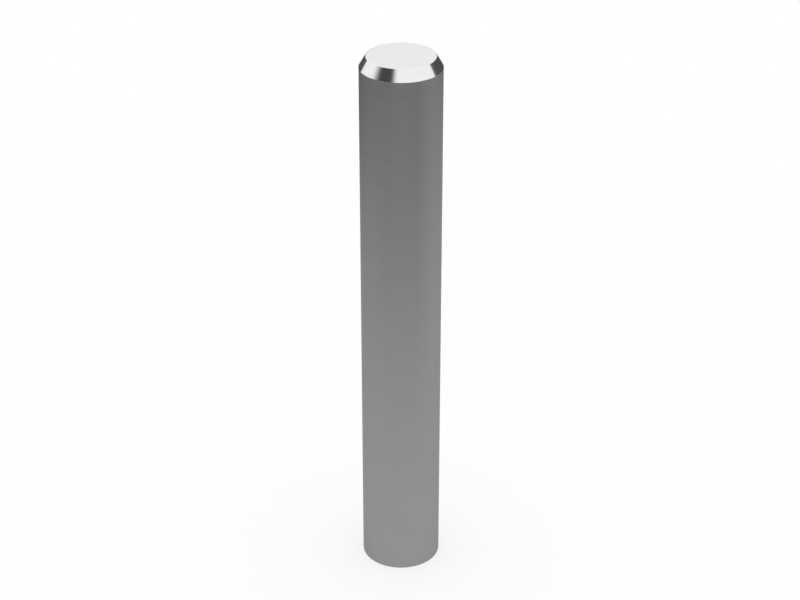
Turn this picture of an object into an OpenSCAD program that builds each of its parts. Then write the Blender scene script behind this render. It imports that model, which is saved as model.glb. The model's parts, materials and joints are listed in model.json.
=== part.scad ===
// Interference stud: a plain round stud for a press fit, turned and ground from
// one bar. One end has a short tapered lead that starts it in a reamed hole. The
// other end is cut square, and the stud stands on it.
//
// Frame: the stud's axis is Z, the square end lies at z = 0 and the lead points
// up, towards +Z. All sizes are in millimetres.

/* [Shank] */
// Diameter of the ground shank, which is what grips in the hole
shank_d = 10; // [6:0.5:16]
// Overall length, from the square end to the tip of the lead
stud_len = 70; // [20:1:120]

/* [Lead] */
// Length of the tapered lead, along the axis
lead_len = 1.4; // [0.8:0.1:2.4]
// Slope of the lead's side, away from the axis
lead_angle = 30; // [15:1:45]

/* [Edges] */
// Radius that deburring leaves on the rim of each end face
edge_r = 0.1; // [0.05:0.05:0.3]

/* [Hidden] */
$fn = 128;

shank_r = shank_d / 2;
// Height at which the shank ends and the lead begins
shoulder_z = stud_len - lead_len;
// Radius at which the lead's side would meet the end face in a sharp corner
tip_r = shank_r - lead_len * tan(lead_angle);

// Half of the stud's section, with sharp corners: X is the radius, Y the height
module half_section() {
    polygon([
        [0, 0],
        [shank_r, 0],
        [shank_r, shoulder_z],
        [tip_r, stud_len],
        [0, stud_len],
    ]);
}

// The sliver that rounds one corner of the section down to edge_r. The corner
// lies at the origin, with the end face running off along -X and the side
// running down; slope is how far the side leans out from straight down.
module corner_sliver(slope) {
    // How far the round reaches along the face, and as far down the side
    reach = edge_r * tan((90 - slope) / 2);
    difference() {
        polygon([
            [-reach, edge_r],
            [-reach, -edge_r],
            [reach * sin(slope), -reach * cos(slope)],
            [edge_r, edge_r],
        ]);
        translate([-reach, -edge_r])
            circle(r = edge_r);
    }
}

// The whole stud is one turning: its section is spun round the Z axis
module stud() {
    color("gray")
        rotate_extrude()
            difference() {
                half_section();
                translate([tip_r, stud_len])
                    corner_sliver(slope = lead_angle);
                translate([shank_r, 0])
                    mirror([0, 1])
                        corner_sliver(slope = 0);
            }
}

stud();
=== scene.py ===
# %% [markdown]
# # An interference stud, turned, ground and set in a studio
#
# An interference stud is a plain round bar of steel that is pressed into a hole a
# few hundredths of a millimetre too small for it, and holds by that squeeze alone.
# It has one feature besides its shank: a short taper at one end, the lead, which
# starts it straight in the hole.
#
# So few forms leave nothing to hide behind. What makes it look real is the crisp
# edge between the dull shank and the bright lead, and what the bright steel
# mirrors. This lesson therefore has three parts: a lathe, three finishes, and a
# small studio.
#
# The exact solid of the stud exists already and comes in first. It is hidden behind
# the dressed stud in the end, but it sets the place and the size of everything.
# Its box is kept, so that the last cell can check against it.

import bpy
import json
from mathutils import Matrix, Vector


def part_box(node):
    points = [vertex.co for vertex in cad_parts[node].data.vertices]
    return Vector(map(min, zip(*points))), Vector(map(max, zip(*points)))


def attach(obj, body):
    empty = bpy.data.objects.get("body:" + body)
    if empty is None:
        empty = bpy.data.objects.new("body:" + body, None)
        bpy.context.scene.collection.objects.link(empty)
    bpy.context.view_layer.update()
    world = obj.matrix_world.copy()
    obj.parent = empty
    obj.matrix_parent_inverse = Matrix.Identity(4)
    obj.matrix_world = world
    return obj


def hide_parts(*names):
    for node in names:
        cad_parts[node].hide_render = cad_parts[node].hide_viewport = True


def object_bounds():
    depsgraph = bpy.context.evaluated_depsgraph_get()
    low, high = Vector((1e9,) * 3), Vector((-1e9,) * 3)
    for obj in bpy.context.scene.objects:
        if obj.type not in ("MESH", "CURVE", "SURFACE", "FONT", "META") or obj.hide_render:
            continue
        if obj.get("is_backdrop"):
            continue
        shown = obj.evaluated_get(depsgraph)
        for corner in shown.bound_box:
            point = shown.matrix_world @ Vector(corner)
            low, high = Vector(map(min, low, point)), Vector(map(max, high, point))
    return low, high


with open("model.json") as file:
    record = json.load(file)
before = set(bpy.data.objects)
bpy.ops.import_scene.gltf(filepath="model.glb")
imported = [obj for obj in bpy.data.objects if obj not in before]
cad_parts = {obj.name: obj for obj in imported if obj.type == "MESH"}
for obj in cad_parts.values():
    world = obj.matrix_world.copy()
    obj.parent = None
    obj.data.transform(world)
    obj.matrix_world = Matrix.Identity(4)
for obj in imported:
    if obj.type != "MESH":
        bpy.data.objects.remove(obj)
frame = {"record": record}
cad_low, cad_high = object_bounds()

# %% Other modules
import json
import math

import bmesh
import bpy

MM = 0.001
SCENE = bpy.context.scene
print("Blender", bpy.app.version_string)

# %% [markdown]
# ## The sizes
#
# Blender works in metres here, and the stud is only 70 mm long, so every size is
# written in millimetres and multiplied by `MM`. The length comes from the box of
# the CAD node, and the radius from the record, which states the size that a hole
# must have. The lead and the rounding of the rims are repeated from the drawing.

# %% Sizes of the stud
node_low, node_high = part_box("stud")
mounts = {mount["name"]: mount for mount in frame["record"]["mounts"]}

STUD_LEN = node_high.z - node_low.z
SHANK_R = mounts["shank"]["dims"]["r_mm"] * MM
LEAD_LEN = 1.4 * MM
LEAD_SLOPE = math.radians(30)
EDGE_R = 0.1 * MM

SHOULDER_Z = STUD_LEN - LEAD_LEN
TIP_R = SHANK_R - LEAD_LEN * math.tan(LEAD_SLOPE)

print(f"stud {STUD_LEN / MM:.2f} mm long, {2 * SHANK_R / MM:.2f} mm across")
print(f"lead {LEAD_LEN / MM:.2f} mm long, {2 * TIP_R / MM:.2f} mm across its tip")

# %% [markdown]
# ## The camera
#
# The camera comes first, because everything else is judged through it. It stands
# a little over 200 mm in front of the stud and looks down at it, so the stud tapers
# towards its foot by perspective alone. A lens this long keeps that taper gentle.
#
# It is placed by plain numbers. A Track To constraint would aim it at the stud as
# well, but the tilt is a measured angle here, and an angle says it more directly.

# %% Camera
CAMERA_BACK = 214.7 * MM
CAMERA_UP = 155.1 * MM
CAMERA_ASIDE = -0.13 * MM
CAMERA_TILT = math.radians(28.72)
CAMERA_LENS_MM = 88.39
CAMERA_SENSOR_MM = 36

camera = bpy.data.objects.new("camera", bpy.data.cameras.new("camera"))
camera.data.lens = CAMERA_LENS_MM
camera.data.sensor_width = CAMERA_SENSOR_MM
camera.data.clip_start = 10 * MM
camera.data.clip_end = 10
camera.location = (CAMERA_ASIDE, -CAMERA_BACK, CAMERA_UP)
camera.rotation_euler = (math.pi / 2 - CAMERA_TILT, 0, 0)
SCENE.collection.objects.link(camera)
SCENE.camera = camera
print(f"camera {CAMERA_BACK / MM:.0f} mm in front and {CAMERA_UP / MM:.0f} mm up")

# %% [markdown]
# ## The turned form
#
# On the lathe, the stud is one profile swept round its axis, and Blender can do
# the same. The Screw modifier would spin a curve, and a primitive cylinder with a
# bevel would come close. A loop that lays rings of points is chosen instead,
# because it also knows which cut of the tool each band of faces belongs to, and
# each cut leaves its own finish.
#
# The outline runs from the middle of the foot, out to the rim, up the side and
# back in to the middle of the top. Each rim is rounded by a tenth of a millimetre,
# as a deburring pass leaves it. The shoulder between shank and lead stays sharp.

# %% Outline of half the stud
RIM_STEPS = 6


def rim(centre_r, centre_z, start, stop):
    """Points (radius, height) on a rim's round, between two angles in degrees."""
    points = []
    for step in range(RIM_STEPS + 1):
        angle = math.radians(start + (stop - start) * step / RIM_STEPS)
        points.append((centre_r + EDGE_R * math.cos(angle), centre_z + EDGE_R * math.sin(angle)))
    return points


# How far in from the sharp corner the round of the top rim meets the end face
tip_reach = EDGE_R * math.tan((math.pi / 2 - LEAD_SLOPE) / 2)

foot_rim = rim(SHANK_R - EDGE_R, EDGE_R, -90, 0)
tip_rim = rim(TIP_R - tip_reach, STUD_LEN - EDGE_R, math.degrees(LEAD_SLOPE), 90)

# %% [markdown]
# Smooth shading blends the slope of each face into the next. Across a 68 mm long
# face that would carry the slope of the tiny round all the way up the shank, and
# bend every reflection in it. A narrow band of straight metal beside each round
# takes up the blend, as a holding loop does in any modelled bevel.

# %% Cuts of the tool
HOLD = 0.05 * MM
foot_hold = (SHANK_R, EDGE_R + HOLD)
tip_hold = (
    tip_rim[0][0] + HOLD * math.sin(LEAD_SLOPE),
    tip_rim[0][1] - HOLD * math.cos(LEAD_SLOPE),
)

# Each cut is a finish and the points that it runs through
cuts = [
    ("faced", [(0, 0), foot_rim[0]]),
    ("ground", foot_rim + [foot_hold, (SHANK_R, SHOULDER_Z)]),
    ("lead", [(SHANK_R, SHOULDER_Z), tip_hold] + tip_rim),
    ("faced", [tip_rim[-1], (0, STUD_LEN)]),
]
print(f"outline in {len(cuts)} cuts, {sum(len(points) - 1 for _, points in cuts)} bands")

# %% [markdown]
# ## The lathe
#
# Every band between two points of the outline becomes one ring of faces. An edge
# between two finishes is marked sharp. The flat ends then stay flat right up to
# their rims, and the shading doesn't bleed from one cut into the next.

# %% Turn the outline
SEGMENTS = 192


def ring(bm, radius, height):
    """A ring of points, or the one point on the axis that stands for all of them."""
    if radius == 0:
        return [bm.verts.new((0, 0, height))] * SEGMENTS
    turn = 2 * math.pi / SEGMENTS
    return [
        bm.verts.new((radius * math.cos(i * turn), radius * math.sin(i * turn), height))
        for i in range(SEGMENTS)
    ]


def turn_stud(cuts, finishes):
    """A mesh of the outline swept round Z, each face given the index of its finish."""
    bm = bmesh.new()
    lower = ring(bm, *cuts[0][1][0])
    for finish, points in cuts:
        for point in points[1:]:
            upper = ring(bm, *point)
            for i in range(SEGMENTS):
                j = (i + 1) % SEGMENTS
                corners = dict.fromkeys((lower[i], lower[j], upper[j], upper[i]))
                face = bm.faces.new(corners)
                face.material_index = finishes.index(finish)
                face.smooth = True
            lower = upper
    for edge in bm.edges:
        edge.smooth = len({face.material_index for face in edge.link_faces}) == 1
    mesh = bpy.data.meshes.new("interference_stud")
    bm.to_mesh(mesh)
    bm.free()
    return mesh


FINISHES = ["ground", "lead", "faced"]
stud = bpy.data.objects.new("interference_stud", turn_stud(cuts, FINISHES))
SCENE.collection.objects.link(stud)
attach(stud, "root")
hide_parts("stud")
print(f"{len(stud.data.polygons)} faces")

# %% [markdown]
# ## A way to write finishes
#
# A finish in Blender is a tree of nodes. Wiring it by hand hides the idea behind
# it, so two small helpers come first. `Value` wraps one output of a node, and
# sums and products of it read as plain Python. `Finish` holds a material, and its
# method `node` adds any other node: its settings first, then its sockets.

# %% Helpers for finishes
class Value:
    """An output of a node. Arithmetic on it adds the Math nodes that work it out."""

    def __init__(self, finish, socket):
        self.finish, self.socket = finish, socket

    def maths(self, operation, first, second):
        return self.finish.node("ShaderNodeMath", {"operation": operation}, {0: first, 1: second})

    def __add__(self, other):
        return self.maths("ADD", self, other)

    def __radd__(self, other):
        return self.maths("ADD", other, self)

    def __sub__(self, other):
        return self.maths("SUBTRACT", self, other)

    def __rsub__(self, other):
        return self.maths("SUBTRACT", other, self)

    def __mul__(self, other):
        return self.maths("MULTIPLY", self, other)

    def __rmul__(self, other):
        return self.maths("MULTIPLY", other, self)


class Finish:
    """A material and its tree of nodes, which starts out empty."""

    def __init__(self, name):
        self.material = bpy.data.materials.new(name)
        self.material.use_nodes = True
        self.tree = self.material.node_tree
        self.tree.nodes.clear()

    def node(self, kind, settings=None, sockets=None, output=0):
        """Adds a node of this kind and returns one of its outputs as a Value."""
        node = self.tree.nodes.new(kind)
        for name, setting in (settings or {}).items():
            setattr(node, name, setting)
        for name, value in (sockets or {}).items():
            if isinstance(value, Value):
                self.tree.links.new(value.socket, node.inputs[name])
            else:
                node.inputs[name].default_value = value
        return Value(self, node.outputs[output]) if len(node.outputs) else None

    def surface(self, shader):
        """Makes this shader the material's surface, and keeps it from acting as a lamp."""
        self.node("ShaderNodeOutputMaterial", None, {"Surface": shader})
        self.material.cycles.emission_sampling = "NONE"
        print(f"finish {self.material.name}: {len(self.tree.nodes)} nodes")
        return self.material


# %% [markdown]
# ## Bare steel
#
# All three finishes are the same steel, so they share one shader: the Principled
# BSDF with Metallic at 1. Only three things in it change from place to place, and
# every finish says how: the tone, the roughness, and a bump for the marks that the
# tool left. The tone carries painted light as well: the shank is toned dark as
# painted shade, the lead and the ends bright as painted light. The marks also shift
# the tone, as painted glints and shade: a scratch turned a little away from the
# light is painted darker than its neighbour.

# %% Steel
def grey(level):
    return (level, level, level, 1)


def mix(finish, share, first, second):
    """The first colour where share is 0, the second where it is 1."""
    a, b, result = 6, 7, 2  # the colour sockets among those that a Mix node holds
    return finish.node(
        "ShaderNodeMix", {"data_type": "RGBA"}, {"Factor": share, a: first, b: second}, result
    )


def steel(finish, tone, spread, marks, edge_tone, roughness, height, depth):
    """Bare steel. Marks from 0 to 1 move its tone by spread, partly random tone and partly painted
    glints and shade, and height cuts depth deep.
    """
    bumpy = finish.node(
        "ShaderNodeBump", None, {"Strength": 1, "Distance": depth, "Height": height}, "Normal"
    )
    shader = finish.node(
        "ShaderNodeBsdfPrincipled",
        None,
        {
            # The base colour holds painted light: a tone per finish, and painted glints and shade
            # along the marks
            "Base Color": mix(finish, marks, grey(tone * (1 - spread)), grey(tone * (1 + spread))),
            "Metallic": 1,
            "Specular Tint": grey(edge_tone),
            "Roughness": roughness,
            "Normal": bumpy,
        },
    )
    return finish.surface(shader)


# %% [markdown]
# ## Ground shank
#
# A grinding wheel takes the shank to size. Its grit leaves countless fine
# scratches that run round the stud, each a few millimetres long and too thin to
# see alone. From a step away they add up to an even satin surface with a faint
# streak here and there. Its dark grey is painted shade: the shank's tone is set
# far below that of the same steel on the lead.
#
# An image of scratches would need UVs and would show its pixels close up. Noise
# that is squeezed along the axis and stretched round it gives the same scratches
# at any distance. They drive the bump, and most of the shift in tone, which paints
# each scratch a little lighter or darker as painted glints and shade. A second,
# much coarser noise lets the tone and the sheen drift a little along the bar, as
# they do where the wheel was last dressed.

# %% Ground finish, toned with painted shade
def grain(finish, width, run, detail=2):
    """Noise from 0 to 1 in marks this wide along the axis and this long round it."""
    place = finish.node("ShaderNodeTexCoord", output="Object")
    squeezed = finish.node(
        "ShaderNodeVectorMath",
        {"operation": "MULTIPLY"},
        {0: place, 1: (1 / run, 1 / run, 1 / width)},
    )
    return finish.node(
        "ShaderNodeTexNoise", None, {"Vector": squeezed, "Scale": 1, "Detail": detail}, "Fac"
    )


def ground_steel_painted_shade():
    finish = Finish("ground_steel_painted_shade")
    scratches = grain(finish, width=0.1 * MM, run=4 * MM, detail=3)
    drift = grain(finish, width=6 * MM, run=9 * MM)
    return steel(
        finish,
        # Painted shade: a tone far below the lead's, on the same steel
        tone=0.368,
        spread=0.15,
        # The scratches' part of this tone shift is painted glints and shade; the drift is random
        # tone
        marks=0.3 * drift + 0.7 * scratches,
        edge_tone=0.7,
        roughness=0.485 + 0.05 * drift + 0.03 * scratches,
        height=scratches,
        depth=0.004 * MM,
    )


made = {"ground": ground_steel_painted_shade()}

# %% [markdown]
# ## Turned lead and faced ends
#
# The lead and the ends are cut last, with a sharp tool and a fine feed, and come
# off the lathe smooth. Their bright tone is painted light, set far above the tone
# of the same steel on the shank. The tool leaves one shallow groove per turn: rings
# up the lead, and rings round the middle of each end face. A sine of the height, or
# of the distance from the axis, draws them. They are less than a micrometre deep,
# so they only soften the mirror a little, along the direction in which the tool
# moved. Each ring is also painted a touch lighter or darker, a painted glint in
# place of the way it catches the light, which is what makes them show on a face
# that mirrors nothing but white.

# %% Finishes painted bright
FEED = 0.15 * MM


def grooves(finish, across):
    """Tool grooves, from 0 to 1, one for each FEED of the distance across them."""
    wave = finish.node(
        "ShaderNodeMath", {"operation": "SINE"}, {0: across * (2 * math.pi / FEED)}
    )
    return 0.5 + 0.5 * wave


def steel_painted_bright(name, tone, across):
    """Steel fresh from the tool, toned bright as painted light. across gives the distance that its
    grooves count.
    """
    finish = Finish(name)
    drift = grain(finish, width=1.5 * MM, run=2 * MM)
    rings = grooves(finish, across(finish))
    return steel(
        finish,
        tone=tone,
        spread=0.05,
        # The rings' part of this tone shift is a painted glint; the drift is random tone
        marks=0.7 * drift + 0.3 * rings,
        edge_tone=1,
        roughness=0.137 + 0.04 * drift,
        height=rings,
        depth=0.0004 * MM,
    )


def height_up(finish):
    place = finish.node("ShaderNodeTexCoord", output="Object")
    return finish.node("ShaderNodeSeparateXYZ", None, {0: place}, "Z")


def distance_out(finish):
    place = finish.node("ShaderNodeTexCoord", output="Object")
    level = finish.node(
        "ShaderNodeVectorMath", {"operation": "MULTIPLY"}, {0: place, 1: (1, 1, 0)}
    )
    return finish.node("ShaderNodeVectorMath", {"operation": "LENGTH"}, {0: level}, "Value")


# Painted light: bright tones far above the shank's, on the same steel
made["lead"] = steel_painted_bright("turned_lead", 0.86, height_up)
made["faced"] = steel_painted_bright("faced_end", 0.805, distance_out)

# %% Dress the stud
for finish in FINISHES:
    stud.data.materials.append(made[finish])
print("slots:", ", ".join(material.name for material in stud.data.materials))

# %% [markdown]
# ## The white room
#
# Polished steel has hardly any colour of its own: it shows what stands round it.
# Studios often shoot small metal parts in a white tent, which lights them softly
# from everywhere. A plain white sky at strength 1 does the same here, without a
# single lamp.

# %% White sky
world = bpy.data.worlds.new("white_sky")
world.use_nodes = True
sky = world.node_tree.nodes["Background"]
sky.inputs["Color"].default_value = grey(1)
sky.inputs["Strength"].default_value = 1
SCENE.world = world
SCENE.view_settings.view_transform = "Standard"
print("sky at strength", sky.inputs["Strength"].default_value)

# %% [markdown]
# The floor should vanish into that white and still hold the stud's shadow. Paint
# alone would look grey beside the sky, and a brighter sky would burn out the
# steel. So the paint is rather dark, and a glow makes up the rest of the white.
# The glow is there only for rays that look at the floor, from the camera or by way
# of a mirror image, and sends no light to the stud.

# %% White floor
FLOOR_PAINT = 0.3
FLOOR_HALF = 2


def only_where_seen(finish):
    """1 for rays from the camera and for their reflections, and 0 for lighting."""
    camera_ray, glossy_ray, clear_ray = (
        finish.node("ShaderNodeLightPath", output=f"Is {kind} Ray")
        for kind in ("Camera", "Glossy", "Transmission")
    )
    rays = camera_ray + glossy_ray + clear_ray
    return finish.node("ShaderNodeMath", {"operation": "MINIMUM"}, {0: rays, 1: 1})


def floor_white():
    """Matt paint, lifted to pure white where it is looked at. It still takes shadow."""
    finish = Finish("floor_white")
    paint = finish.node("ShaderNodeBsdfDiffuse", None, {"Color": grey(FLOOR_PAINT)})
    glow = finish.node(
        "ShaderNodeEmission",
        None,
        {"Color": grey(1 - FLOOR_PAINT), "Strength": only_where_seen(finish)},
    )
    return finish.surface(finish.node("ShaderNodeAddShader", None, {0: paint, 1: glow}))


def studio_sheet(name, points, faces, material):
    """A sheet that belongs to the studio and not to the part."""
    mesh = bpy.data.meshes.new(name)
    mesh.from_pydata(points, [], faces)
    mesh.materials.append(material)
    sheet = bpy.data.objects.new(name, mesh)
    SCENE.collection.objects.link(sheet)
    sheet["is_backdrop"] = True
    return sheet


corners = [(x * FLOOR_HALF, y * FLOOR_HALF, 0) for x, y in ((-1, -1), (1, -1), (1, 1), (-1, 1))]
studio_sheet("floor", corners, [(0, 1, 2, 3)], floor_white())

# %% [markdown]
# ## Dark cards
#
# In an all-white room, steel melts into the background. Photographers put dark
# cards, called flags, where the metal will mirror them, and leave them just out of
# the picture. The stud is round, so each card is bent round it too. Then it can be
# planned with two angles: its azimuth, which is 0 towards the camera and 90 to the
# camera's right, and its elevation, as the lead at the top of the stud sees it.
#
# A plain black sheet would do for a card with crisp edges. A soft edge in the mirror
# image needs a card that fades out, so the paper glows as white as the sky where it
# fades, and is almost black elsewhere. The cards show in mirror images only: light
# and shadow on the floor are the same with and without them.

# %% How to make a card
CARD_STEP = 3  # degrees
CARD_TONE = 0.075  # almost black


def azimuth_on(finish):
    """The azimuth of each point of a card, in radians."""
    place = finish.node("ShaderNodeTexCoord", output="Object")
    right, back = (
        finish.node("ShaderNodeSeparateXYZ", None, {0: place}, axis) for axis in ("X", "Y")
    )
    return finish.node("ShaderNodeMath", {"operation": "ARCTAN2"}, {0: right, 1: 0 - back})


def card_paper(name, start, stop, fade_in, fade_out, tone):
    """Dark paper. It fades to the white of the sky over an angle at either end."""
    finish = Finish(name)
    colour = grey(tone)
    for edge, fade in ((start, fade_in), (stop, -fade_out)):
        if fade:
            ends = {"From Min": math.radians(edge), "From Max": math.radians(edge + fade)}
            dark = finish.node(
                "ShaderNodeMapRange",
                {"interpolation_type": "SMOOTHSTEP"},
                {"Value": azimuth_on(finish), **ends},
            )
            colour = mix(finish, dark, grey(1), colour)
    return finish.surface(finish.node("ShaderNodeEmission", None, {"Color": colour}))


def card(name, start, stop, out, high, low=None, fade_in=0, fade_out=0, tone=CARD_TONE):
    """A card round the stud, this far out, between two azimuths and two elevations.

    Angles are in degrees. Without a low elevation, the card stands on the floor.
    """
    top = STUD_LEN + out * math.tan(math.radians(high))
    base = 0 if low is None else STUD_LEN + out * math.tan(math.radians(low))
    steps = round((stop - start) / CARD_STEP)
    points = []
    for step in range(steps + 1):
        azimuth = math.radians(start + (stop - start) * step / steps)
        for height in (base, top):
            points.append((out * math.sin(azimuth), -out * math.cos(azimuth), height))
    faces = [(2 * i, 2 * i + 2, 2 * i + 3, 2 * i + 1) for i in range(steps)]
    paper = card_paper(f"{name}_paper", start, stop, fade_in, fade_out, tone)
    sheet = studio_sheet(name, points, faces, paper)
    sheet.visible_camera = False
    sheet.visible_diffuse = False
    sheet.visible_shadow = False
    print(f"{name}: from {base / MM:.0f} to {top / MM:.0f} mm above the floor")


# %% [markdown]
# Four low cards stand on the floor and close a ring round the stud. The camera
# looks down on the shank, and so the shank mirrors what lies lower than itself.
# Its top mirrors the dark of the cards, and its foot the white floor close by, and
# the dull finish blurs one into the other. That gives the long plain shank its slow
# change of tone. Where a card stands nearer, the shank facing it is darker. The left
# card is the lowest: the left side of the lead mirrors white sky just above it.

# %% Ring of low cards
card("card_front", start=-60, stop=20, out=120 * MM, high=5.5)
card("card_near", start=20, stop=66, out=110 * MM, high=5.5)
card("card_right", start=66, stop=180, out=177 * MM, high=5.5)
card("card_left", start=-180, stop=-60, out=136 * MM, high=3)

# %% [markdown]
# Three flags hang higher up, where only the sloping lead mirrors them. The left one
# draws the dark bar near the middle of the lead, and its faded ends keep that bar
# soft. The right one ends the bright side with a crisp edge. The one at the back
# darkens a small wedge at the far left.

# %% Flags for the lead
card(
    "flag_left", start=-90.5, stop=-11, out=160 * MM, low=12, high=60,
    fade_in=29, fade_out=19, tone=0.055,
)
card("flag_right", start=102, stop=150, out=177 * MM, low=5.5, high=21)
card("flag_back", start=-175, stop=-129.5, out=136 * MM, low=3, high=12)

# %% [markdown]
# ## Check the size
#
# Dressing must not change the stud's dimensions. The two boxes, before and after,
# are compared here, and the largest difference is printed.

# %% Sizes, and the end
seen_low, seen_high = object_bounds()
change = max(
    abs(seen - cad) for seen, cad in zip((*seen_low, *seen_high), (*cad_low, *cad_high))
)
print(f"the box changed by {change / MM:.4f} mm at most")
